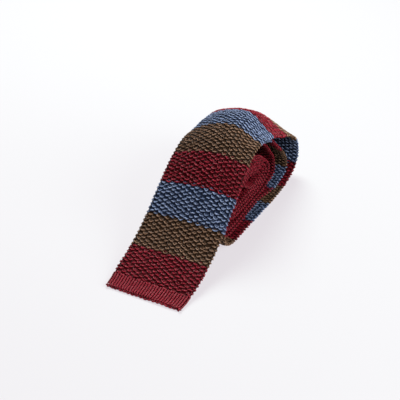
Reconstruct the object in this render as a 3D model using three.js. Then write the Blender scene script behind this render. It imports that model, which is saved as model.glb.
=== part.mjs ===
// A knitted silk necktie in broad stripes, rolled up from its narrow end and lying on the
// ground on its roll, with the wide end laid out in front. Millimetres, +Z up. +X runs
// across the tie, and -Y points from the roll towards the hem of the wide end.
import * as THREE from 'three';

// Driving dimensions
const bladeWidth = 60; // wide end, selvedge to selvedge
const hemWidth = 57; // the hem is pulled in a little
const stripesEndWidth = 55; // where the stripes end
const neckWidth = 38; // plain neck and tail
const bladeThickness = 3.1; // knitted tube pressed flat
const neckThickness = 2.5;
const bladeLength = 330; // of even width
const neckTaper = 28; // from the stripes' end to the neck's width
const hemLength = 11.5; // ribbed band at the wide end
const tailHemLength = 9; // ribbed band at the narrow end
const stripeLength = 25.7;
const stripeCount = 21;
const neckLength = 312; // plain stretch after the stripes, up to the wound tail
const rollLength = 120.5; // front turn to back turn, on the cloth's mid layer
const rollHeight = 70; // ground to the crown, on the cloth's mid layer
const bladeReach = 65.5; // front turn to hem
const turnClearance = 0.65; // air between two turns that lie together
const coreRadius = 5; // the narrow end stops at this radius
const pieceGap = 0.3; // between one knitted section and the next
const selvedgeRadius = 1.1; // rounding of the two long edges
const crownDroop = 17; // how far the crown's left selvedge hangs below its top
const crownLean = 8; // how far the crown's left side is pushed back
const crownOffset = 6.5; // the crown's top, right of the blade's middle

// Facets
const facetLength = 4.3;
const woundFacetLength = 3.2;
const columns = 7; // points across each face of the cloth
const woundColumns = 5;

// The wide end from its hem up to the roll. y: share of bladeReach in front of the roll.
// z: share of the crown height above the ground layer.
const bladeRise = [
  { y: 1.0, z: 0.0 },
  { y: 0.908, z: 0.003 },
  { y: 0.725, z: 0.048 },
  { y: 0.435, z: 0.153 },
  { y: 0.275, z: 0.239 },
  { y: 0.114, z: 0.353 },
  { y: -0.038, z: 0.476 },
];

// The outer turn, over the crown, down the back, along the ground and up the front.
// y: share of rollLength from the front. z: share of the crown height above the ground
// layer. second, third, fourth: slack between that turn and the one outside it, as a share
// of rollHeight.
const outerTurn = [
  { y: 0.104, z: 0.606, second: 0.038, third: 0.01, fourth: 0.02 },
  { y: 0.182, z: 0.742, second: 0.04, third: 0.008, fourth: 0.04 },
  { y: 0.261, z: 0.856, second: 0.04, third: 0.007, fourth: 0.075 },
  { y: 0.352, z: 0.95, second: 0.04, third: 0.008, fourth: 0.115 },
  { y: 0.453, z: 0.995, second: 0.04, third: 0.01, fourth: 0.155 },
  { y: 0.56, z: 0.997, second: 0.042, third: 0.012, fourth: 0.185 },
  { y: 0.66, z: 0.953, second: 0.05, third: 0.025, fourth: 0.2 },
  { y: 0.751, z: 0.871, second: 0.078, third: 0.045, fourth: 0.195 },
  { y: 0.834, z: 0.765, second: 0.12, third: 0.06, fourth: 0.15 },
  { y: 0.909, z: 0.644, second: 0.168, third: 0.065, fourth: 0.1 },
  { y: 0.967, z: 0.507, second: 0.192, third: 0.075, fourth: 0.075 },
  { y: 0.997, z: 0.371, second: 0.185, third: 0.11, fourth: 0.08 },
  { y: 0.996, z: 0.219, second: 0.14, third: 0.155, fourth: 0.085 },
  { y: 0.95, z: 0.098, second: 0.07, third: 0.16, fourth: 0.085 },
  { y: 0.867, z: 0.031, second: 0.045, third: 0.13, fourth: 0.06 },
  { y: 0.743, z: -0.002, second: 0.036, third: 0.05, fourth: 0.035 },
  { y: 0.627, z: -0.004, second: 0.032, third: 0.012, fourth: 0.012 },
  { y: 0.522, z: -0.004, second: 0.028, third: 0.008, fourth: 0.005 },
  { y: 0.423, z: -0.004, second: 0.02, third: 0.008, fourth: 0.004 },
  { y: 0.328, z: -0.004, second: 0.014, third: 0.01, fourth: 0.004 },
  { y: 0.228, z: -0.003, second: 0.012, third: 0.012, fourth: 0.012 },
  { y: 0.133, z: 0.004, second: 0.012, third: 0.014, fourth: 0.03 },
  { y: 0.058, z: 0.046, second: 0.014, third: 0.016, fourth: 0.05 },
  { y: 0.012, z: 0.113, second: 0.018, third: 0.02, fourth: 0.06 },
  { y: 0.0, z: 0.196, second: 0.02, third: 0.02, fourth: 0.06 },
  { y: 0.015, z: 0.287, second: 0.018, third: 0.014, fourth: 0.045 },
  { y: 0.051, z: 0.386, second: 0.014, third: 0.01, fourth: 0.025 },
  { y: 0.095, z: 0.484, second: 0.012, third: 0.008, fourth: 0.01 },
];
const woundSlack = 0.004; // the same, for every turn further in
const slackColumns = ['second', 'third', 'fourth'];

// The middle that the turns are wound about, as shares of rollLength and rollHeight
const core = { y: 0.38, z: 0.405 };

// Where the right selvedge runs. along: share of the striped length from the hem.
// edge: share of bladeWidth from the middle of the blade.
const rightEdge = [
  { along: 0.0, edge: 0.475 },
  { along: 0.05, edge: 0.5 },
  { along: 0.37, edge: 0.495 },
  { along: 0.5, edge: 0.49 },
  { along: 0.63, edge: 0.45 },
  { along: 0.78, edge: 0.435 },
  { along: 0.99, edge: 0.435 },
  { along: 1.04, edge: 0.375 },
  { along: 1.55, edge: 0.375 },
  { along: 1.9, edge: 0.355 },
  { along: 2.7, edge: 0.34 },
];

// How the crown sags towards its selvedges. y: share of rollLength from the front.
// right, left: share of crownDroop.
const sag = [
  { y: -0.2, right: 0.2, left: 0.45 },
  { y: 0.05, right: 0.22, left: 0.5 },
  { y: 0.28, right: 0.25, left: 0.75 },
  { y: 0.47, right: 0.42, left: 1.0 },
  { y: 0.6, right: 0.64, left: 1.0 },
  { y: 0.78, right: 0.84, left: 0.85 },
  { y: 0.9, right: 0.7, left: 0.7 },
  { y: 1.02, right: 0.5, left: 0.55 },
];
const sagLeft = 1.7; // power of the distance from the top, on the left
const sagUpward = 1.5; // power of the height
const leanFrom = 0.15; // share of rollLength where the lean begins
const leanTo = 0.7; // and where it is full

const colours = {
  burgundy: 0x6e1e28,
  olive: 0x5f5041,
  blue: 0x4b5f82,
};
const stripeOrder = ['burgundy', 'olive', 'blue'];
const tailColour = 'burgundy';

const groundLayer = bladeThickness / 2;
const frontY = -rollLength / 2;
const fullTurn = 2 * Math.PI;

// A value between the rows of a table, eased from row to row
function lookUp(table, key, column, at) {
  const next = table.findIndex((row) => row[key] > at);
  if (next === 0) return table[0][column];
  if (next < 0) return table[table.length - 1][column];
  const from = table[next - 1];
  const to = table[next];
  const share = THREE.MathUtils.smoothstep(at, from[key], to[key]);
  return THREE.MathUtils.lerp(from[column], to[column], share);
}

function layerHeight(share) {
  return groundLayer + share * (rollHeight - groundLayer);
}

// The outer turn's rows as bearings and reaches about the core
function outerReaches(coreY, coreZ) {
  let last = Math.PI;
  return outerTurn.map((row) => {
    const y = frontY + row.y * rollLength - coreY;
    const z = layerHeight(row.z) - coreZ;
    let bearing = Math.atan2(z, y);
    while (bearing > last) bearing -= fullTurn;
    last = bearing;
    return { bearing, reach: Math.hypot(y, z) };
  });
}

function turnThickness(turn) {
  return turn < slackColumns.length ? bladeThickness : neckThickness;
}

function turnSlack(turn, row) {
  const column = slackColumns[turn - 1];
  return rollHeight * (column ? outerTurn[row][column] : woundSlack);
}

// All the turns as one list of reaches: each lies inside the one before by the cloth's
// thickness, the clearance and the slack, measured square to the cloth. The wound turns
// also round off the corners of the turn that they lie in.
function woundReaches(outer) {
  const count = outer.length;
  const reaches = outer.map((row) => row.reach);
  const bearings = outer.map((row) => row.bearing);
  const steepest = 1.7;
  let smallest = Infinity;
  for (let i = count; ; i += 1) {
    const turn = Math.floor(i / count);
    const row = i % count;
    const bearing = outer[row].bearing - turn * fullTurn;
    const before = Math.max(i - count - 1, 0);
    const after = Math.min(i - count + 1, i - 1);
    let reach = reaches[i - count];
    const slope = (reaches[after] - reaches[before]) / (bearings[after] - bearings[before]);
    const slant = Math.min(Math.hypot(1, slope / reach), steepest);
    if (turn >= slackColumns.length) {
      const rounded = (reaches[before] + reach + reaches[after]) / 3;
      reach = Math.min(reach, rounded);
    }
    const spacing = turnThickness(turn) + turnClearance;
    reach -= spacing * slant + turnSlack(turn, row);
    smallest = Math.min(smallest, reach);
    if (smallest < coreRadius) break;
    reaches.push(reach);
    bearings.push(bearing);
  }
  return reaches.map((reach, i) => ({ reach, bearing: bearings[i] }));
}

// The tie's middle line in the plane X = 0, from the hem of the wide end to the narrow end
function middleLine() {
  const coreY = frontY + core.y * rollLength;
  const coreZ = core.z * rollHeight;
  const points = bladeRise.map((row) => {
    return new THREE.Vector3(0, frontY - row.y * bladeReach, layerHeight(row.z));
  });
  woundReaches(outerReaches(coreY, coreZ)).forEach(({ reach, bearing }) => {
    const y = coreY + reach * Math.cos(bearing);
    const z = coreZ + reach * Math.sin(bearing);
    points.push(new THREE.Vector3(0, y, z));
  });
  const line = new THREE.CatmullRomCurve3(points, false, 'centripetal');
  line.arcLengthDivisions = 40 * points.length;
  return line;
}

const line = middleLine();
const tieLength = line.getLength();

// The place on the middle line at a length from the hem, laid on the ground where it
// would dip below it, with the direction square to the cloth
function placeAt(length) {
  const share = THREE.MathUtils.clamp(length / tieLength, 0, 1);
  const point = line.getPointAt(share);
  const tangent = line.getTangentAt(share);
  if (point.z < groundLayer) {
    point.z = groundLayer;
    tangent.set(0, Math.sign(tangent.y), 0);
  }
  const square = new THREE.Vector3(0, -tangent.z, tangent.y);
  return { point, square };
}

const stripesEnd = hemLength + stripeCount * stripeLength;

function widthAt(length) {
  const { lerp, smoothstep } = THREE.MathUtils;
  const even = lerp(hemWidth, bladeWidth, smoothstep(length, 0, 2 * hemLength));
  const narrowed = lerp(even, stripesEndWidth, smoothstep(length, bladeLength, stripesEnd));
  return lerp(narrowed, neckWidth, smoothstep(length, stripesEnd, stripesEnd + neckTaper));
}

function thicknessAt(length) {
  const thinned = THREE.MathUtils.smoothstep(length, stripesEnd, stripesEnd + neckTaper);
  return THREE.MathUtils.lerp(bladeThickness, neckThickness, thinned);
}

// The crown sags towards both selvedges, levels off at the right one, and its left side
// is pushed back
function settle(point) {
  const height = THREE.MathUtils.clamp(point.z / rollHeight, 0, 1);
  const upward = height ** sagUpward;
  const along = (point.y - frontY) / rollLength;
  const across = point.x / (bladeWidth / 2);
  const side = point.x > crownOffset ? 'right' : 'left';
  const edge = side === 'right' ? bladeWidth / 2 : -bladeWidth / 2;
  const outward = (point.x - crownOffset) / (edge - crownOffset);
  const droop = crownDroop * lookUp(sag, 'y', side, along);
  const fall = side === 'right' ? THREE.MathUtils.smoothstep(outward, 0, 1) : outward ** sagLeft;
  point.y -= crownLean * across * upward * THREE.MathUtils.smoothstep(along, leanFrom, leanTo);
  point.z -= droop * fall * upward;
  return point;
}

// One ring of points round the cloth: its outer face from left to right, the right
// selvedge, its inner face from right to left, and the left selvedge
function ringAt(length, columnCount) {
  const { point, square } = placeAt(length);
  const width = widthAt(length);
  const half = thicknessAt(length) / 2;
  const right = bladeWidth * lookUp(rightEdge, 'along', 'edge', length / stripesEnd);
  const left = right - width;
  const corner = Math.min(selvedgeRadius, half);
  const shoulder = half - corner / 2;
  const ring = [];
  const add = (x, rise) => {
    const place = new THREE.Vector3(x, point.y, point.z).addScaledVector(square, rise);
    ring.push(settle(place));
  };
  const columnAt = (i) => THREE.MathUtils.lerp(left + corner, right - corner, i / (columnCount - 1));
  const riseAt = (i) => (i === 0 || i === columnCount - 1 ? shoulder : half);
  for (let i = 0; i < columnCount; i += 1) add(columnAt(i), riseAt(i));
  add(right, 0);
  for (let i = columnCount - 1; i >= 0; i -= 1) add(columnAt(i), -riseAt(i));
  add(left, 0);
  return ring;
}

// A closed solid of the cloth between two lengths from the hem
function clothSection(from, to, step, columnCount) {
  const count = Math.max(2, Math.ceil((to - from) / step));
  const rings = [];
  for (let i = 0; i <= count; i += 1) {
    rings.push(ringAt(THREE.MathUtils.lerp(from, to, i / count), columnCount));
  }
  const size = rings[0].length;
  const positions = rings.flat().flatMap((place) => [place.x, place.y, place.z]);
  const faces = [];
  for (let i = 0; i < count; i += 1) {
    for (let j = 0; j < size; j += 1) {
      const a = i * size + j;
      const b = i * size + ((j + 1) % size);
      faces.push(a, b, a + size, b, b + size, a + size);
    }
  }
  const closeEnd = (first, flip) => {
    const rightTip = columnCount;
    const leftTip = size - 1;
    const opposite = (j) => size - 2 - j;
    const add = (a, b, c) => {
      if (flip) faces.push(first + a, first + c, first + b);
      else faces.push(first + a, first + b, first + c);
    };
    add(leftTip, opposite(0), 0);
    for (let j = 0; j < columnCount - 1; j += 1) {
      add(j, opposite(j), j + 1);
      add(opposite(j), opposite(j + 1), j + 1);
    }
    add(columnCount - 1, opposite(columnCount - 1), rightTip);
  };
  closeEnd(0, false);
  closeEnd(count * size, true);
  const geometry = new THREE.BufferGeometry();
  geometry.setAttribute('position', new THREE.Float32BufferAttribute(positions, 3));
  geometry.setIndex(faces);
  geometry.computeVertexNormals();
  return geometry;
}

function knitted(name, from, to, colour, step = facetLength, columnCount = columns) {
  const material = new THREE.MeshStandardMaterial({
    color: colours[colour],
    roughness: 0.75,
    metalness: 0,
  });
  const mesh = new THREE.Mesh(clothSection(from, to - pieceGap, step, columnCount), material);
  mesh.name = name;
  return mesh;
}

function stripes() {
  return Array.from({ length: stripeCount }, (_, i) => {
    const colour = stripeOrder[i % stripeOrder.length];
    const number = String(i + 1).padStart(2, '0');
    const from = hemLength + i * stripeLength;
    return knitted(`stripe_${number}_${colour}`, from, from + stripeLength, colour);
  });
}

const neckEnd = stripesEnd + neckLength;
const tailEnd = tieLength - tailHemLength;

const tie = new THREE.Group();
tie.add(
  knitted('hem_band', 0, hemLength, stripeOrder[0]),
  ...stripes(),
  knitted('neck_band', stripesEnd, neckEnd, tailColour),
  knitted('tail_band', neckEnd, tailEnd, tailColour, woundFacetLength, woundColumns),
  knitted('tail_hem', tailEnd, tieLength + pieceGap, tailColour, woundFacetLength, woundColumns),
);

// The origin is on the ground, under the middle of the whole
const middle = new THREE.Box3().setFromObject(tie).getCenter(new THREE.Vector3());
tie.children.forEach((piece) => piece.position.set(-middle.x, -middle.y, 0));

export default tie;
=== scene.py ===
import math
import bpy
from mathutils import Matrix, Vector


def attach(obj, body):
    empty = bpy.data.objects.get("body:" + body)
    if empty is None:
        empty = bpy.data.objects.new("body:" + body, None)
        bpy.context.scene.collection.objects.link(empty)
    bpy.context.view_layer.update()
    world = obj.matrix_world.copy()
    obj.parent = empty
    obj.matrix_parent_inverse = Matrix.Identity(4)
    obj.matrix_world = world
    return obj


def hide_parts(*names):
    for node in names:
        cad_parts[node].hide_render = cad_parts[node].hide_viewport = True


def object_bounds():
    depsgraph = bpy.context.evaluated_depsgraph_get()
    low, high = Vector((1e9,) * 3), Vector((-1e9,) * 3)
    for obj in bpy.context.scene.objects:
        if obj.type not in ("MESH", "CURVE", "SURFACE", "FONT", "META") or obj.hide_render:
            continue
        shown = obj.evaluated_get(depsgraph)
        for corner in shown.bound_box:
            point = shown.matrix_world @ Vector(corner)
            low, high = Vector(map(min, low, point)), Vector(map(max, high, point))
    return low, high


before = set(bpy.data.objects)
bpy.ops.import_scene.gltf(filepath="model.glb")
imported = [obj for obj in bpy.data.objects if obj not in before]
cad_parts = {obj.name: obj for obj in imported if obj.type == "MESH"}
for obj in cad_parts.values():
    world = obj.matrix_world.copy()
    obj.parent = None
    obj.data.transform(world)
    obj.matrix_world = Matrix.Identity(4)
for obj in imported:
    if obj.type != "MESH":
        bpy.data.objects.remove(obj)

cadLow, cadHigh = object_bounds()
root = "root"

# The tie's own sizes, in metres: the same ones that the solids are made from
tie = {
    "bladeWidth": 0.060,
    "hemWidth": 0.057,
    "stripesEndWidth": 0.055,
    "neckWidth": 0.038,
    "bladeThickness": 0.0031,
    "neckThickness": 0.0025,
    "bladeLength": 0.330,
    "neckTaper": 0.028,
    "hemLength": 0.0115,
    "tailHemLength": 0.009,
    "stripeLength": 0.0257,
    "stripeCount": 21,
    "neckLength": 0.312,
    "rollLength": 0.1205,
    "rollHeight": 0.070,
    "bladeReach": 0.0655,
    "turnClearance": 0.00065,
    "coreRadius": 0.005,
    "coreAt": (0.38, 0.405),  # shares of rollLength and rollHeight
    "crownDroop": 0.017,
    "crownLean": 0.008,
    "crownOffset": 0.0065,
    "sagUpward": 1.5,
    "sagLeft": 1.7,
    "leanFrom": 0.15,
    "leanTo": 0.7,
    "woundSlack": 0.004,
    "steepest": 1.7,
    "pathStep": 0.001,
}
stripeOrder = ("burgundy", "olive", "blue")

# The wide end from its hem to the roll: share of bladeReach in front, share of the height
bladeRise = (
    (1.0, 0.0), (0.908, 0.003), (0.725, 0.048), (0.435, 0.153),
    (0.275, 0.239), (0.114, 0.353), (-0.038, 0.476),
)

# The outer turn: share of rollLength, share of the height, slack of turns 2, 3 and 4
outerTurn = (
    (0.104, 0.606, 0.038, 0.010, 0.020),
    (0.182, 0.742, 0.040, 0.008, 0.040),
    (0.261, 0.856, 0.040, 0.007, 0.075),
    (0.352, 0.950, 0.040, 0.008, 0.115),
    (0.453, 0.995, 0.040, 0.010, 0.155),
    (0.560, 0.997, 0.042, 0.012, 0.185),
    (0.660, 0.953, 0.050, 0.025, 0.200),
    (0.751, 0.871, 0.078, 0.045, 0.195),
    (0.834, 0.765, 0.120, 0.060, 0.150),
    (0.909, 0.644, 0.168, 0.065, 0.100),
    (0.967, 0.507, 0.192, 0.075, 0.075),
    (0.997, 0.371, 0.185, 0.110, 0.080),
    (0.996, 0.219, 0.140, 0.155, 0.085),
    (0.950, 0.098, 0.070, 0.160, 0.085),
    (0.867, 0.031, 0.045, 0.130, 0.060),
    (0.743, -0.002, 0.036, 0.050, 0.035),
    (0.627, -0.004, 0.032, 0.012, 0.012),
    (0.522, -0.004, 0.028, 0.008, 0.005),
    (0.423, -0.004, 0.020, 0.008, 0.004),
    (0.328, -0.004, 0.014, 0.010, 0.004),
    (0.228, -0.003, 0.012, 0.012, 0.012),
    (0.133, 0.004, 0.012, 0.014, 0.030),
    (0.058, 0.046, 0.014, 0.016, 0.050),
    (0.012, 0.113, 0.018, 0.020, 0.060),
    (0.000, 0.196, 0.020, 0.020, 0.060),
    (0.015, 0.287, 0.018, 0.014, 0.045),
    (0.051, 0.386, 0.014, 0.010, 0.025),
    (0.095, 0.484, 0.012, 0.008, 0.010),
)

# The right selvedge: share of the striped length, share of bladeWidth
rightEdge = (
    (0.0, 0.475), (0.05, 0.5), (0.37, 0.495), (0.5, 0.49), (0.63, 0.45),
    (0.78, 0.435), (0.99, 0.435), (1.04, 0.375), (1.55, 0.375), (1.9, 0.355),
    (2.7, 0.34),
)

# How the crown sags: share of rollLength, share of crownDroop at the right and at the left
sagRows = (
    (-0.2, 0.2, 0.45), (0.05, 0.22, 0.5), (0.28, 0.25, 0.75), (0.47, 0.42, 1.0),
    (0.6, 0.64, 1.0), (0.78, 0.84, 0.85), (0.9, 0.7, 0.7), (1.02, 0.5, 0.55),
)

groundLayer = tie["bladeThickness"] / 2
frontY = -tie["rollLength"] / 2
stripesEnd = tie["hemLength"] + tie["stripeCount"] * tie["stripeLength"]


def smoothStep(value, low, high):
    share = min(1.0, max(0.0, (value - low) / (high - low)))
    return share * share * (3 - 2 * share)


def mix(a, b, share):
    return a + (b - a) * share


def lookUp(rows, column, at):
    following = [i for i, row in enumerate(rows) if row[0] > at]
    if not following:
        return rows[-1][column]
    if following[0] == 0:
        return rows[0][column]
    before, after = rows[following[0] - 1], rows[following[0]]
    return mix(before[column], after[column], smoothStep(at, before[0], after[0]))


def layerHeight(share):
    return groundLayer + share * (tie["rollHeight"] - groundLayer)


# The turns, wound inwards from the outer one
def woundPoints():
    coreY = frontY + tie["coreAt"][0] * tie["rollLength"]
    coreZ = tie["coreAt"][1] * tie["rollHeight"]
    reaches, bearings = [], []
    last = math.pi
    for row in outerTurn:
        y = frontY + row[0] * tie["rollLength"] - coreY
        z = layerHeight(row[1]) - coreZ
        bearing = math.atan2(z, y)
        while bearing > last:
            bearing -= 2 * math.pi
        last = bearing
        bearings.append(bearing)
        reaches.append(math.hypot(y, z))
    count = len(outerTurn)
    i = count
    while True:
        turn, row = divmod(i, count)
        bearing = bearings[row] - turn * 2 * math.pi
        before, after = max(i - count - 1, 0), min(i - count + 1, i - 1)
        reach = reaches[i - count]
        slope = (reaches[after] - reaches[before]) / (bearings[after] - bearings[before])
        slant = min(math.hypot(1, slope / reach), tie["steepest"])
        slackShare = outerTurn[row][turn + 1] if turn <= 3 else tie["woundSlack"]
        thickness = tie["bladeThickness"]
        if turn > 2:
            reach = min(reach, (reaches[before] + reach + reaches[after]) / 3)
            thickness = tie["neckThickness"]
        reach -= (thickness + tie["turnClearance"]) * slant + slackShare * tie["rollHeight"]
        if reach < tie["coreRadius"]:
            break
        reaches.append(reach)
        bearings.append(bearing)
        i += 1
    return [
        Vector((0, coreY + r * math.cos(b), coreZ + r * math.sin(b)))
        for r, b in zip(reaches, bearings)
    ]


# A centripetal Catmull-Rom curve through the points, as a fine line
def smoothLine(points, steps=60):
    points = [2 * points[0] - points[1], *points, 2 * points[-1] - points[-2]]
    line = []
    for a, b, c, d in zip(points, points[1:], points[2:], points[3:]):
        gapAB = (b - a).length ** 0.5
        gapBC = (c - b).length ** 0.5
        gapCD = (d - c).length ** 0.5
        slopeB = ((b - a) / gapAB - (c - a) / (gapAB + gapBC) + (c - b) / gapBC) * gapBC
        slopeC = ((c - b) / gapBC - (d - b) / (gapBC + gapCD) + (d - c) / gapCD) * gapBC
        for k in range(steps):
            t = k / steps
            line.append(
                b * (2 * t**3 - 3 * t**2 + 1) + slopeB * (t**3 - 2 * t**2 + t)
                + c * (-2 * t**3 + 3 * t**2) + slopeC * (t**3 - t**2)
            )
    line.append(points[-2].copy())
    return line


# The line again, with points one even step apart
def evenLine(line, step):
    lengths = [0.0]
    for a, b in zip(line, line[1:]):
        lengths.append(lengths[-1] + (b - a).length)
    total = lengths[-1]
    count = round(total / step)
    places = []
    j = 0
    for i in range(count + 1):
        at = total * i / count
        while j < len(line) - 2 and lengths[j + 1] < at:
            j += 1
        share = (at - lengths[j]) / (lengths[j + 1] - lengths[j])
        places.append(line[j].lerp(line[j + 1], share))
    return places, total


def widthAt(length):
    even = mix(tie["hemWidth"], tie["bladeWidth"], smoothStep(length, 0, 2 * tie["hemLength"]))
    narrowed = mix(even, tie["stripesEndWidth"], smoothStep(length, tie["bladeLength"], stripesEnd))
    neck = smoothStep(length, stripesEnd, stripesEnd + tie["neckTaper"])
    return mix(narrowed, tie["neckWidth"], neck)


def thicknessAt(length):
    thinned = smoothStep(length, stripesEnd, stripesEnd + tie["neckTaper"])
    return mix(tie["bladeThickness"], tie["neckThickness"], thinned)


risePoints = [Vector((0, frontY - y * tie["bladeReach"], layerHeight(z))) for y, z in bladeRise]
pathPoints, tieLength = evenLine(smoothLine(risePoints + woundPoints()), tie["pathStep"])
for point in pathPoints:
    point.z = max(point.z, groundLayer)
neckEnd = stripesEnd + tie["neckLength"]
tailEnd = tieLength - tie["tailHemLength"]
shiftX = cadHigh.x - tie["bladeWidth"] / 2
shiftY = cadLow.y - frontY + tie["bladeReach"]
print(f"path: {len(pathPoints)} points, {tieLength:.4f} m of tie")


# The path as a line object whose points carry what the cloth needs at that length
def makePath(yarnRise):
    mesh = bpy.data.meshes.new("tiePath")
    count = len(pathPoints)
    mesh.from_pydata(pathPoints, [(i, i + 1) for i in range(count - 1)], [])
    squares, acrossRows, sags = [], [], []
    for i, point in enumerate(pathPoints):
        ahead = pathPoints[min(i + 1, count - 1)] - pathPoints[max(i - 1, 0)]
        ahead.normalize()
        squares.append((0, -ahead.z, ahead.y))
        length = tieLength * i / (count - 1)
        width, thickness = widthAt(length), thicknessAt(length)
        right = tie["bladeWidth"] * lookUp(rightEdge, 1, length / stripesEnd)
        rise = yarnRise * thickness / tie["bladeThickness"]
        acrossRows.append((right - width / 2, (width - thickness) / 2, thickness / 2 - rise))
        along = (point.y - frontY) / tie["rollLength"]
        droopRight = tie["crownDroop"] * lookUp(sagRows, 1, along)
        droopLeft = tie["crownDroop"] * lookUp(sagRows, 2, along)
        lean = tie["crownLean"] * smoothStep(along, tie["leanFrom"], tie["leanTo"])
        sags.append((droopRight, droopLeft, lean))
    for name, rows in (("square", squares), ("across", acrossRows), ("sag", sags)):
        attribute = mesh.attributes.new(name, "FLOAT_VECTOR", "POINT")
        attribute.data.foreach_set("vector", [x for row in rows for x in row])
    path = bpy.data.objects.new("tiePath", mesh)
    bpy.context.scene.collection.objects.link(path)
    return path


# Small helpers that keep the node trees short to read
class Nodes:
    def __init__(self, nodeTree):
        self.nodes = nodeTree.nodes
        self.links = nodeTree.links

    def put(self, target, value):
        if isinstance(value, bpy.types.NodeSocket):
            self.links.new(value, target)
        else:
            target.default_value = value

    # Values go to the inputs of those names, or by number where the name is i0, i1 and so on
    def add(self, kind, settings=None, out=0, **values):
        node = self.nodes.new(kind)
        for key, value in (settings or {}).items():
            setattr(node, key, value)
        for key, value in values.items():
            numbered = key[0] == "i" and key[1:].isdigit()
            self.put(node.inputs[int(key[1:])] if numbered else node.inputs[key], value)
        return node.outputs[out]

    def do(self, operation, *values):
        inputs = {f"i{i}": value for i, value in enumerate(values)}
        return self.add("ShaderNodeMath", {"operation": operation}, **inputs)


class Tree(Nodes):
    def __init__(self, name, inputs):
        self.group = bpy.data.node_groups.new(name, "GeometryNodeTree")
        super().__init__(self.group)
        sockets = self.group.interface
        sockets.new_socket("Geometry", in_out="INPUT", socket_type="NodeSocketGeometry")
        for label, kind, value in inputs:
            socket = sockets.new_socket(label, in_out="INPUT", socket_type=kind)
            if value is not None:
                socket.default_value = value
        sockets.new_socket("Geometry", in_out="OUTPUT", socket_type="NodeSocketGeometry")
        self.inputs = self.nodes.new("NodeGroupInput").outputs
        self.output = self.nodes.new("NodeGroupOutput")

    def vec(self, operation, *values):
        inputs = {f"i{i}": value for i, value in enumerate(values)}
        return self.add("ShaderNodeVectorMath", {"operation": operation}, **inputs)

    def split(self, vector):
        node = self.nodes.new("ShaderNodeSeparateXYZ")
        self.links.new(vector, node.inputs[0])
        return node.outputs

    def join(self, x, y, z):
        return self.add("ShaderNodeCombineXYZ", i0=x, i1=y, i2=z)

    def named(self, name, kind="FLOAT"):
        return self.add("GeometryNodeInputNamedAttribute", {"data_type": kind}, Name=name)

    def end(self, geometry):
        self.links.new(geometry, self.output.inputs[0])
        return self.group


foldPress = 0.45  # how much flatter the loops lie where the tube folds


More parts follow.
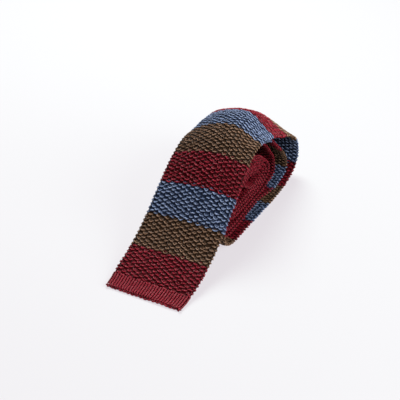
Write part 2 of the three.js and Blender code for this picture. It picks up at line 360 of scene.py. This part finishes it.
# Where a flat point lies on the rolled tie. Flat x runs round the pressed tube from the
# middle of its outer face, flat y is the length from the hem, flat z stands off the cloth.
# Within the rounding of an end the two layers come together and the corners draw in.
def onTie(tree, path, quarter, rounding):
    line = tree.add("GeometryNodeObjectInfo", {}, "Geometry", Object=path)
    curve = tree.add("GeometryNodeMeshToCurve", {}, Mesh=line)
    flat = tree.split(tree.add("GeometryNodeInputPosition"))
    length = tree.do("MINIMUM", tree.do("MAXIMUM", flat[1], 0), tieLength)
    share = tree.do("DIVIDE", length, tieLength)
    pastEnd = tree.do("SUBTRACT", flat[1], length)
    sampler = {"mode": "FACTOR", "data_type": "FLOAT_VECTOR"}

    def sampled(name, out="Value"):
        value = tree.named(name, "FLOAT_VECTOR")
        return tree.add("GeometryNodeSampleCurve", sampler, out, Curves=curve, Value=value, Factor=share)

    fromEnd = tree.do("MINIMUM", length, tree.do("SUBTRACT", tieLength, length))
    short = tree.do("SUBTRACT", 1, tree.do("MINIMUM", tree.do("DIVIDE", fromEnd, rounding), 1))
    closing = tree.do("SQRT", tree.do("SUBTRACT", 1, tree.do("MULTIPLY", short, short)))
    centre, faceHalf, core = tree.split(sampled("across"))[0:3]
    quarterLength = tree.do("MULTIPLY_ADD", core, math.pi / 2, faceHalf)
    side = tree.do("SIGN", flat[0])
    away = tree.do("MULTIPLY", tree.do("DIVIDE", tree.do("ABSOLUTE", flat[0]), quarter), quarterLength)
    pastFace = tree.do("SUBTRACT", away, faceHalf)
    turned = tree.do("MINIMUM", tree.do("MAXIMUM", tree.do("DIVIDE", pastFace, core), 0), math.pi)
    pressed = tree.do("SUBTRACT", 1, tree.do("MULTIPLY", tree.do("SINE", turned), foldPress))
    reach = tree.do("MULTIPLY_ADD", core, closing, tree.do("MULTIPLY", flat[2], pressed))
    foldLength = tree.do("MULTIPLY", core, math.pi)
    pastFold = tree.do("MAXIMUM", tree.do("SUBTRACT", pastFace, foldLength), 0)
    onFace = tree.do("MINIMUM", away, faceHalf)
    sideways = tree.do("MULTIPLY_ADD", reach, tree.do("SINE", turned), onFace)
    sideways = tree.do("SUBTRACT", sideways, pastFold)
    drawnIn = tree.do("MULTIPLY", tree.do("SUBTRACT", 1, closing), rounding)
    drawnHere = tree.do("MULTIPLY", drawnIn, tree.do("DIVIDE", sideways, faceHalf))
    sideways = tree.do("SUBTRACT", sideways, drawnHere)
    x = tree.do("MULTIPLY_ADD", side, sideways, centre)
    off = tree.do("MULTIPLY", reach, tree.do("COSINE", turned))
    square = tree.split(sampled("square"))
    onLine = tree.split(sampled("square", "Position"))
    placeY = tree.do("MULTIPLY_ADD", square[1], off, onLine[1])
    placeY = tree.do("MULTIPLY_ADD", square[2], pastEnd, placeY)
    placeZ = tree.do("MULTIPLY_ADD", square[2], off, onLine[2])
    placeZ = tree.do("SUBTRACT", placeZ, tree.do("MULTIPLY", square[1], pastEnd))

    height = tree.do("MAXIMUM", tree.do("DIVIDE", placeZ, tie["rollHeight"]), 0)
    upward = tree.do("POWER", height, tie["sagUpward"])
    droopRight, droopLeft, lean = tree.split(sampled("sag"))[0:3]
    half = tie["bladeWidth"] / 2
    fromTop = tree.do("SUBTRACT", x, tie["crownOffset"])
    outRight = tree.do("MAXIMUM", tree.do("DIVIDE", fromTop, half - tie["crownOffset"]), 0)
    outLeft = tree.do("MAXIMUM", tree.do("DIVIDE", fromTop, -half - tie["crownOffset"]), 0)
    outRight = tree.do("MINIMUM", outRight, 1)
    easing = tree.do("SUBTRACT", 3, tree.do("MULTIPLY", outRight, 2))
    eased = tree.do("MULTIPLY", tree.do("MULTIPLY", outRight, outRight), easing)
    dropRight = tree.do("MULTIPLY", droopRight, eased)
    dropLeft = tree.do("MULTIPLY", droopLeft, tree.do("POWER", outLeft, tie["sagLeft"]))
    drop = tree.do("MULTIPLY", tree.do("ADD", dropRight, dropLeft), upward)
    pushed = tree.do("MULTIPLY", tree.do("MULTIPLY", lean, tree.do("DIVIDE", x, half)), upward)
    return tree.join(
        tree.do("ADD", x, shiftX),
        tree.do("ADD", tree.do("SUBTRACT", placeY, pushed), shiftY),
        tree.do("SUBTRACT", placeZ, drop),
    )


# The blade's moss knit: loops that stand on the face, and rows that dip between them
mossKnit = {
    "walesRound": 36,
    "rowsPerStripe": 16,
    "yarnRadius": 0.00040,
    "yarnRise": 0.00095,  # from the loops' middle layer to the outside of the cloth
    "outerSides": 5,
    "innerSides": 4,
    "outerPoints": 14,  # points along a loop on the outside of the roll
    "innerPoints": 9,
    "outerStripes": 14,  # the stripes of the outer turn
    "uneven": 0.0030,
    "unevenRise": 3.0,  # yarn radii
    "unevenScale": 430.0,
    "seedShift": 0.01,  # how far each seed moves the unevenness
}

# Half of one moss loop: share of a wale across, share of a row along, yarn radii off the
# cloth. Its ends lie on the bump that it shares with the loops beside it.
mossRows = (
    (-1.05, -0.60, 1.15),
    (-0.76, -0.46, 0.95),
    (-0.52, -0.05, 0.20),
    (-0.42, 0.42, -0.70),
    (-0.22, 0.90, 0.05),
    (0.0, 1.08, 0.45),
)

# Half of one plain loop, a V whose ends dip under its neighbours
plainRows = (
    (-0.06, 1.15, -1.10),
    (-0.17, 0.80, 0.10),
    (-0.16, 0.25, 0.75),
    (-0.11, -0.30, 0.70),
    (-0.04, -0.75, -0.10),
    (0.0, -0.85, -0.80),
)


# One loop as a poly curve in wales, rows and yarn radii
def makeLoop(name, rows):
    left = [Vector(row) for row in rows]
    keys = left + [Vector((-p.x, p.y, p.z)) for p in reversed(left[:-1])]
    points = smoothLine(keys, steps=4)
    curve = bpy.data.curves.new(name, "CURVE")
    curve.dimensions = "3D"
    spline = curve.splines.new("POLY")
    spline.points.add(len(points) - 1)
    for target, point in zip(spline.points, points):
        target.co = (*point, 1)
    loop = bpy.data.objects.new(name, curve)
    bpy.context.scene.collection.objects.link(loop)
    return loop


def stored(tree, geometry, name, value, domain="POINT"):
    store = {"data_type": "FLOAT", "domain": domain}
    return tree.add("GeometryNodeStoreNamedAttribute", store, Geometry=geometry, Name=name, Value=value)


# Rows of loops laid on the tie as yarn of even thickness
def makeKnitTree(name, path):
    tree = Tree(name, (
        ("Wales", "NodeSocketInt", 36),
        ("Rows", "NodeSocketInt", 8),
        ("Every", "NodeSocketInt", 2),
        ("Wale Width", "NodeSocketFloat", 0.0033),
        ("Row Pitch", "NodeSocketFloat", 0.0032),
        ("Start", "NodeSocketFloat", 0.0),
        ("First", "NodeSocketFloat", 0.0),
        ("Quarter", "NodeSocketFloat", 0.03),
        ("Rounding", "NodeSocketFloat", 0.001),
        ("Back From", "NodeSocketFloat", -1.0),
        ("Edge Reach", "NodeSocketFloat", 1.0),
        ("Loop", "NodeSocketObject", None),
        ("Outer Points", "NodeSocketInt", 15),
        ("Inner Points", "NodeSocketInt", 9),
        ("Yarn Radius", "NodeSocketFloat", 0.0005),
        ("Sides", "NodeSocketInt", 6),
        ("Uneven", "NodeSocketFloat", 0.0005),
        ("Seed", "NodeSocketInt", 1),
        ("Material", "NodeSocketMaterial", None),
    ))
    inputs = tree.inputs
    every = inputs["Every"]
    perRow = tree.do("DIVIDE", inputs["Wales"], every)
    index = tree.add("GeometryNodeInputIndex")
    row = tree.do("FLOOR", tree.do("DIVIDE", tree.do("ADD", index, 0.5), perRow))
    column = tree.do("SUBTRACT", index, tree.do("MULTIPLY", row, perRow))
    offset = tree.do("MULTIPLY", tree.do("MODULO", row, 2), tree.do("SUBTRACT", every, 1))
    wale = tree.do("ADD", tree.do("MULTIPLY_ADD", column, every, inputs["First"]), offset)
    half = tree.do("DIVIDE", inputs["Wales"], 2)
    x = tree.do("MULTIPLY", tree.do("SUBTRACT", wale, half), inputs["Wale Width"])
    y = tree.do("MULTIPLY_ADD", tree.do("ADD", row, 0.5), inputs["Row Pitch"], inputs["Start"])
    count = tree.do("MULTIPLY", perRow, inputs["Rows"])
    points = tree.add("GeometryNodePoints", {}, Count=count, Position=tree.join(x, y, 0.0))

    seed = inputs["Seed"]
    away = tree.do("ABSOLUTE", x)
    fromEdge = tree.do("ABSOLUTE", tree.do("SUBTRACT", away, inputs["Quarter"]))
    nearEdge = tree.do("LESS_THAN", fromEdge, inputs["Edge Reach"])
    wanted = tree.do("MULTIPLY", nearEdge, tree.do("GREATER_THAN", away, inputs["Back From"]))
    scale = tree.join(inputs["Wale Width"], inputs["Row Pitch"], inputs["Yarn Radius"])
    loop = tree.add("GeometryNodeObjectInfo", {}, "Geometry", Object=inputs["Loop"])
    placed = tree.add(
        "GeometryNodeInstanceOnPoints", {}, Points=points, Selection=wanted, Instance=loop, Scale=scale,
    )
    tint = tree.add("FunctionNodeRandomValue", {"data_type": "FLOAT"}, 1, i2=0.0, i3=1.0, Seed=seed)
    placed = stored(tree, placed, "tint", tint, "INSTANCE")
    centre = tree.split(tree.add("GeometryNodeInputPosition"))
    outside = tree.do("LESS_THAN", tree.do("ABSOLUTE", centre[0]), inputs["Quarter"])
    placed = stored(tree, placed, "outside", outside, "INSTANCE")
    yarn = tree.add("GeometryNodeRealizeInstances", {}, Geometry=placed)
    extra = tree.do("SUBTRACT", inputs["Outer Points"], inputs["Inner Points"])
    pointCount = tree.do("MULTIPLY_ADD", tree.named("outside"), extra, inputs["Inner Points"])
    yarn = tree.add("GeometryNodeResampleCurve", {}, Curve=yarn, Count=pointCount)
    # the height off the cloth, which the yarn material reads for its painted light and shade
    rise = tree.do("DIVIDE", centre[2], inputs["Yarn Radius"])
    yarn = stored(tree, yarn, "rise", rise)
    spot = tree.join(centre[0], centre[1], tree.do("MULTIPLY", seed, mossKnit["seedShift"]))
    noise = tree.add(
        "ShaderNodeTexNoise", {}, "Color", Vector=spot, Scale=mossKnit["unevenScale"], Detail=1.0,
    )
    stray = tree.vec("SUBTRACT", noise, (0.5, 0.5, 0.5))
    unevenRise = tree.do("MULTIPLY", inputs["Yarn Radius"], mossKnit["unevenRise"])
    stray = tree.vec("MULTIPLY", stray, tree.join(inputs["Uneven"], inputs["Uneven"], unevenRise))
    yarn = tree.add("GeometryNodeSetPosition", {}, Geometry=yarn, Offset=stray)
    place = onTie(tree, path, inputs["Quarter"], inputs["Rounding"])
    yarn = tree.add("GeometryNodeSetPosition", {}, Geometry=yarn, Position=place)
    yarn = asYarn(tree, yarn, inputs["Yarn Radius"], inputs["Sides"])
    yarn = tree.add("GeometryNodeRealizeInstances", {}, Geometry=yarn)
    yarn = tree.add("GeometryNodeSetMaterial", {}, Geometry=yarn, Material=inputs["Material"])
    return tree.end(yarn)


# Curves as round yarn, which keeps its length and its way round for the twist
def asYarn(tree, curves, radius, sides):
    along = tree.add("GeometryNodeSplineParameter", {}, "Length")
    curves = stored(tree, curves, "alongYarn", along)
    profile = tree.add("GeometryNodeCurvePrimitiveCircle", {}, Resolution=sides, Radius=radius)
    angle = tree.do("MULTIPLY", tree.add("GeometryNodeSplineParameter"), 2 * math.pi)
    for name, operation in (("roundCos", "COSINE"), ("roundSin", "SINE")):
        profile = stored(tree, profile, name, tree.do(operation, angle))
    mesh = tree.add("GeometryNodeCurveToMesh", {}, Curve=curves, **{"Profile Curve": profile})
    return tree.add("GeometryNodeSetShadeSmooth", {}, Geometry=mesh)


# A piece made by a tree: an empty mesh with the modifier, turned into a plain mesh
def grow(name, group, values, source=None):
    mesh = source or bpy.data.meshes.new(name)
    piece = bpy.data.objects.new(name, mesh)
    bpy.context.scene.collection.objects.link(piece)
    modifier = piece.modifiers.new("nodes", "NODES")
    modifier.node_group = group
    items = group.interface.items_tree
    sockets = {item.name: item.identifier for item in items if item.in_out == "INPUT"}
    for label, value in values.items():
        modifier[sockets[label]] = value
    evaluated = piece.evaluated_get(bpy.context.evaluated_depsgraph_get())
    result = bpy.data.meshes.new_from_object(evaluated)
    piece.modifiers.clear()
    piece.data = result
    result.name = name
    return piece


# The yarn's colour at its lightest and at its darkest, and the painted shade colour down between the
# loops
yarnLooks = {
    "burgundy": {
        "light": (0.300, 0.0195, 0.036),
        "dark": (0.118, 0.0025, 0.0072),
        "paintedDeepShade": (0.020, 0.0003, 0.0010),
    },
    "olive": {
        "light": (0.258, 0.152, 0.096),
        "dark": (0.076, 0.040, 0.020),
        "paintedDeepShade": (0.010, 0.0045, 0.0015),
    },
    "blue": {
        "light": (0.262, 0.328, 0.485),
        "dark": (0.048, 0.076, 0.152),
        "paintedDeepShade": (0.0025, 0.005, 0.015),
    },
    "deepBelow": -0.5,  # yarn radii off the cloth where the shade is full
    "lightAbove": 1.5,
    "roughness": 0.36,
    "specular": 0.10,
    "twistLength": 0.0016,
    "twistDepth": 0.00010,
    "twistStrength": 0.6,
    "mottleScale": 900.0,
    "patchScale": 90.0,
    "tintShare": 0.3,
    "mottleShare": 0.35,
    "patchShare": 0.6,
    "leastLight": 0.35,
}
groundLooks = {
    "mottleScale": 700.0,
    "mottleShare": 0.45,
    "bumpDepth": 0.0003,
    "bumpStrength": 0.8,
    "roughness": 0.85,
    "specular": 0.1,
}


class Shader(Nodes):
    def __init__(self, name):
        self.material = bpy.data.materials.new(name)
        self.material.use_nodes = True
        super().__init__(self.material.node_tree)
        self.surface = self.nodes["Principled BSDF"]

    def named(self, name):
        return self.add("ShaderNodeAttribute", {"attribute_name": name}, "Fac")

    def noise(self, position, scale, detail):
        return self.add("ShaderNodeTexNoise", {}, "Fac", Vector=position, Scale=scale, Detail=detail)

    def blend(self, share, low, high):
        return self.add("ShaderNodeMix", {"data_type": "RGBA"}, 2, i0=share, i6=low, i7=high)

    def bump(self, height, depth, strength):
        return self.add("ShaderNodeBump", {}, Height=height, Distance=depth, Strength=strength)


# Twisted silk: each loop a little lighter or darker, with the plies winding round it, and painted light
# and shade by how high the yarn stands
def yarnMaterial(colour):
    look = yarnLooks[colour]
    shader = Shader(f"{colour}Yarn")
    position = shader.add("ShaderNodeTexCoord", {}, "Object")
    mottle = shader.noise(position, yarnLooks["mottleScale"], 3.0)
    patch = shader.noise(position, yarnLooks["patchScale"], 2.0)
    tinted = shader.do("MULTIPLY", shader.named("tint"), yarnLooks["tintShare"])
    share = shader.do("ADD", tinted, shader.do("MULTIPLY", mottle, yarnLooks["mottleShare"]))
    patched = shader.do("MULTIPLY", shader.do("SUBTRACT", patch, 0.5), yarnLooks["patchShare"])
    share = shader.do("ADD", share, patched)
    # Painted light and shade: the yarn is painted lighter where it stands high off the cloth and darker
    # where it lies low, down to the painted deep shade between the loops
    paintedShade = shader.add(
        "ShaderNodeMapRange", {"interpolation_type": "SMOOTHSTEP"}, i0=shader.named("rise"),
        i1=yarnLooks["deepBelow"], i2=yarnLooks["lightAbove"], i3=0.0, i4=1.0,
    )
    share = shader.do("MULTIPLY", shader.do("ADD", share, yarnLooks["leastLight"]), paintedShade)
    yarn = shader.blend(share, (*look["dark"], 1), (*look["light"], 1))
    ramp = shader.blend(paintedShade, (*look["paintedDeepShade"], 1), yarn)
    wind = shader.do("MULTIPLY", shader.named("alongYarn"), 2 * math.pi / yarnLooks["twistLength"])
    left = shader.do("MULTIPLY", shader.named("roundSin"), shader.do("COSINE", wind))
    right = shader.do("MULTIPLY", shader.named("roundCos"), shader.do("SINE", wind))
    twist = shader.do("ABSOLUTE", shader.do("ADD", left, right))
    bump = shader.bump(twist, yarnLooks["twistDepth"], yarnLooks["twistStrength"])
    surface = shader.surface
    shader.put(surface.inputs["Base Color"], ramp)
    shader.put(surface.inputs["Normal"], bump)
    surface.inputs["Roughness"].default_value = yarnLooks["roughness"]
    surface.inputs["Specular IOR Level"].default_value = yarnLooks["specular"]
    return shader.material


# The ground between the loops lies in their shade: its colour is painted shade, mottled between the
# painted deep shade and the dark yarn tone
def groundMaterial(colour):
    look = yarnLooks[colour]
    shader = Shader(f"{colour}Ground")
    position = shader.add("ShaderNodeTexCoord", {}, "Object")
    mottle = shader.noise(position, groundLooks["mottleScale"], 3.0)
    share = shader.do("MULTIPLY", mottle, groundLooks["mottleShare"])
    ramp = shader.blend(share, (*look["paintedDeepShade"], 1), (*look["dark"], 1))
    bump = shader.bump(mottle, groundLooks["bumpDepth"], groundLooks["bumpStrength"])
    shader.put(shader.surface.inputs["Base Color"], ramp)
    shader.put(shader.surface.inputs["Normal"], bump)
    shader.surface.inputs["Roughness"].default_value = groundLooks["roughness"]
    shader.surface.inputs["Specular IOR Level"].default_value = groundLooks["specular"]
    return shader.material


yarns = {colour: yarnMaterial(colour) for colour in stripeOrder}
grounds = {colour: groundMaterial(colour) for colour in stripeOrder}
print("materials done")

path = makePath(mossKnit["yarnRise"])
mossLoop = makeLoop("mossLoop", mossRows)
plainLoop = makeLoop("plainLoop", plainRows)
knitTree = makeKnitTree("knitField", path)


# A quarter of the way round the pressed tube, on the loops' middle layer
def quarterOf(width, thickness):
    core = (0.5 - mossKnit["yarnRise"] / tie["bladeThickness"]) * thickness
    return (width - thickness) / 2 + core * math.pi / 2


bladeQuarter = quarterOf(tie["bladeWidth"], tie["bladeThickness"])
noRounding = 0.00001  # for the ends that meet another section


# One knitted section between two lengths from the hem
def knit(piece, node, colour, start, end, rows, look, loop, every, seed, outer=True):
    wales = look["walesRound"]
    section = grow(piece, knitTree, {
        "Wales": wales,
        "Rows": rows,
        "Every": every,
        "Wale Width": 4 * bladeQuarter / wales,
        "Row Pitch": (end - start) / rows,
        "Start": start,
        "First": 0.5 if every == 1 else 0.0,
        "Quarter": bladeQuarter,
        "Rounding": look.get("rounding", noRounding),
        "Back From": look.get("backFrom", -1.0),
        "Edge Reach": look.get("edgeReach", tie["bladeWidth"]),
        "Loop": loop,
        "Outer Points": look["outerPoints"] if outer else look["innerPoints"],
        "Inner Points": look["innerPoints"],
        "Yarn Radius": look["yarnRadius"],
        "Sides": look["outerSides"] if outer else look["innerSides"],
        "Uneven": look["uneven"],
        "Seed": seed,
        "Material": yarns[colour],
    })
    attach(section, root)
    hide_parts(node)


for i in range(tie["stripeCount"]):
    colour = stripeOrder[i % len(stripeOrder)]
    start = tie["hemLength"] + i * tie["stripeLength"]
    end = start + tie["stripeLength"]
    outer = i < mossKnit["outerStripes"]
    rows = mossKnit["rowsPerStripe"]
    node = f"stripe_{i + 1:02d}_{colour}"
    knit(f"{node}_loops", node, colour, start, end, rows, mossKnit, mossLoop, 2, 11 + i, outer)

# The ribbed bands at both ends, in plain knit that rounds over the end
hemKnit = {
    "walesRound": 58,
    "rows": 8,
    "tailRows": 7,
    "yarnRadius": 0.00034,
    "tailYarn": 0.00028,
    "outerSides": 6,
    "innerSides": 4,
    "outerPoints": 11,
    "innerPoints": 7,
    "uneven": 0.0004,
    "rounding": 0.0024,
}
hemRows = hemKnit["rows"]
knit("hem_band_loops", "hem_band", "burgundy", 0.0, tie["hemLength"], hemRows, hemKnit, plainLoop, 1, 3)

# The back layer's last row shows below the ribs as a row of bumps
edgeKnit = {
    "walesRound": 36,
    "start": -0.0004,
    "rowPitch": 0.0010,
    "yarnRadius": 0.00060,
    "backFrom": bladeQuarter,
    "outerSides": 6,
    "innerSides": 6,
    "outerPoints": 13,
    "innerPoints": 13,
    "uneven": 0.001,
}
edgeEnd = edgeKnit["start"] + edgeKnit["rowPitch"]
knit("hem_edge_loops", "hem_band", "burgundy", edgeKnit["start"], edgeEnd, 1, edgeKnit, mossLoop, 1, 4)

# The plain neck and the wound tail in a finer yarn, knitted where the roll shows them
neckKnit = {
    "walesRound": 36,
    "rows": 194,
    "yarnRadius": 0.00036,
    "edgeReach": 0.0200,
    "outerSides": 4,
    "innerSides": 4,
    "outerPoints": 10,
    "innerPoints": 10,
    "uneven": 0.0015,
}
tailKnit = dict(
    neckKnit, rows=350, yarnRadius=0.00042, edgeReach=0.0070, outerPoints=9, innerPoints=9,
    uneven=0.0025,
)
tailHemKnit = dict(hemKnit, yarnRadius=hemKnit["tailYarn"], rows=hemKnit["tailRows"])
for node, start, end, look, loop, every, seed in (
    ("neck_band", stripesEnd, neckEnd, neckKnit, mossLoop, 2, 5),
    ("tail_band", neckEnd, tailEnd, tailKnit, mossLoop, 2, 7),
    ("tail_hem", tailEnd, tieLength, tailHemKnit, plainLoop, 1, 9),
):
    knit(f"{node}_loops", node, "burgundy", start, end, look["rows"], look, loop, every, seed)

# The ground cloth: the pressed tube under the loops, in one piece over the whole tie
ground = {
    "ringPoints": 44,
    "step": 0.0022,
    "sink": -0.00032,  # its surface below the loops' middle layer
}


def makeGroundTree():
    tree = Tree("groundCloth", (
        ("Quarter", "NodeSocketFloat", 0.03),
        ("Rounding", "NodeSocketFloat", 0.001),
    ))
    place = onTie(tree, path, tree.inputs["Quarter"], tree.inputs["Rounding"])
    cloth = tree.add("GeometryNodeSetPosition", {}, Geometry=tree.inputs["Geometry"], Position=place)
    cloth = tree.add("GeometryNodeSetShadeSmooth", {}, Geometry=cloth)
    return tree.end(cloth)


# A closed tube in flat places: rings round the cloth, and a strip across each end
def makeGround():
    count = math.ceil(tieLength / ground["step"])
    size = ground["ringPoints"]
    points, faces, colours = [], [], []
    for i in range(count + 1):
        for j in range(size):
            points.append(((j / size * 4 - 2) * bladeQuarter, tieLength * i / count, ground["sink"]))
    for i in range(count):
        middle = tieLength * (i + 0.5) / count
        stripe = math.floor((middle - tie["hemLength"]) / tie["stripeLength"])
        colour = stripe % len(stripeOrder) if 0 <= stripe < tie["stripeCount"] else 0
        for j in range(size):
            after = (j + 1) % size
            faces.append((i * size + j, i * size + after, (i + 1) * size + after, (i + 1) * size + j))
            colours.append(colour)
    for first in (0, count * size):
        for j in range(size // 2):
            left, right = j, j + 1
            face = [first + left, first + right, first + size - right, first + (size - left) % size]
            face = list(dict.fromkeys(face))
            faces.append(tuple(face if first else reversed(face)))
            colours.append(0)
    mesh = bpy.data.meshes.new("tie_ground")
    mesh.from_pydata(points, [], faces)
    for colour in stripeOrder:
        mesh.materials.append(grounds[colour])
    mesh.polygons.foreach_set("material_index", colours)
    return mesh


groundCloth = grow("tie_ground", makeGroundTree(), {
    "Quarter": bladeQuarter,
    "Rounding": hemKnit["rounding"],
}, makeGround())
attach(groundCloth, root)
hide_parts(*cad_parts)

for helper in (path, mossLoop, plainLoop):
    bpy.data.objects.remove(helper)

# A plain pale floor and soft studio light
studio = {
    "floorSize": 6.0,
    "floorColour": (0.10, 0.12, 0.11),
    "floorGlow": (0.665, 0.610, 0.655),
    "floorRoughness": 0.9,
    "floorSpecular": 0.1,
    "world": 0.20,
    "lightsAim": (0, 0, 0.03),
    "keyPower": 19.0,
    "keySize": 0.55,
    "keyAt": (-0.30, 0.42, 0.75),
    "fillPower": 20.0,
    "fillSize": 0.9,
    "fillAt": (0.90, -0.10, 0.50),
}


def makeFloor():
    half = studio["floorSize"] / 2
    mesh = bpy.data.meshes.new("floor")
    corners = [(-half, -half, 0), (half, -half, 0), (half, half, 0), (-half, half, 0)]
    mesh.from_pydata(corners, [], [(0, 1, 2, 3)])
    floor = bpy.data.objects.new("floor", mesh)
    bpy.context.scene.collection.objects.link(floor)
    shader = Shader("paleFloor")
    shader.surface.inputs["Base Color"].default_value = (*studio["floorColour"], 1)
    shader.surface.inputs["Emission Color"].default_value = (*studio["floorGlow"], 1)
    shader.surface.inputs["Emission Strength"].default_value = 1.0
    shader.surface.inputs["Roughness"].default_value = studio["floorRoughness"]
    shader.surface.inputs["Specular IOR Level"].default_value = studio["floorSpecular"]
    mesh.materials.append(shader.material)


def addLight(name, at, size, power):
    light = bpy.data.lights.new(name, "AREA")
    light.shape = "DISK"
    light.size = size
    light.energy = power
    lamp = bpy.data.objects.new(name, light)
    lamp.location = at
    towards = Vector(studio["lightsAim"]) - Vector(at)
    lamp.rotation_euler = towards.to_track_quat("-Z", "Y").to_euler()
    bpy.context.scene.collection.objects.link(lamp)


makeFloor()
addLight("key", studio["keyAt"], studio["keySize"], studio["keyPower"])
addLight("fill", studio["fillAt"], studio["fillSize"], studio["fillPower"])
world = bpy.data.worlds.new("studioWorld")
bpy.context.scene.world = world
world.use_nodes = True
world.node_tree.nodes["Background"].inputs["Color"].default_value = (1, 1, 1, 1)
world.node_tree.nodes["Background"].inputs["Strength"].default_value = studio["world"]
bpy.context.scene.view_settings.view_transform = "Standard"

# The camera stands where the photograph was taken from
view = {
    "azimuth": 27.527,
    "elevation": 34.010,
    "distance": 0.7196,
    "aimRight": -0.0096125,
    "aimUp": 0.0137666,
    "focalShare": 1006.7 / 400,  # focal length as a share of the picture's width
    "sensor": 36.0,
    "aimX": 0.00146,
    "aimY": 0.00565,
    "clipStart": 0.01,
}


def makeCamera():
    a, e = math.radians(view["azimuth"]), math.radians(view["elevation"])
    forward = Vector((-math.sin(a) * math.cos(e), math.cos(a) * math.cos(e), -math.sin(e)))
    right = Vector((math.cos(a), math.sin(a), 0))
    up = right.cross(forward)
    data = bpy.data.cameras.new("camera")
    data.sensor_width = view["sensor"]
    data.lens = view["focalShare"] * view["sensor"]
    data.clip_start = view["clipStart"]
    camera = bpy.data.objects.new("camera", data)
    at = -forward * view["distance"] + right * view["aimRight"] + up * view["aimUp"]
    camera.location = at + Vector((view["aimX"], view["aimY"], 0))
    camera.rotation_euler = forward.to_track_quat("-Z", "Y").to_euler()
    bpy.context.scene.collection.objects.link(camera)
    bpy.context.scene.camera = camera


makeCamera()
print("stage and camera done")
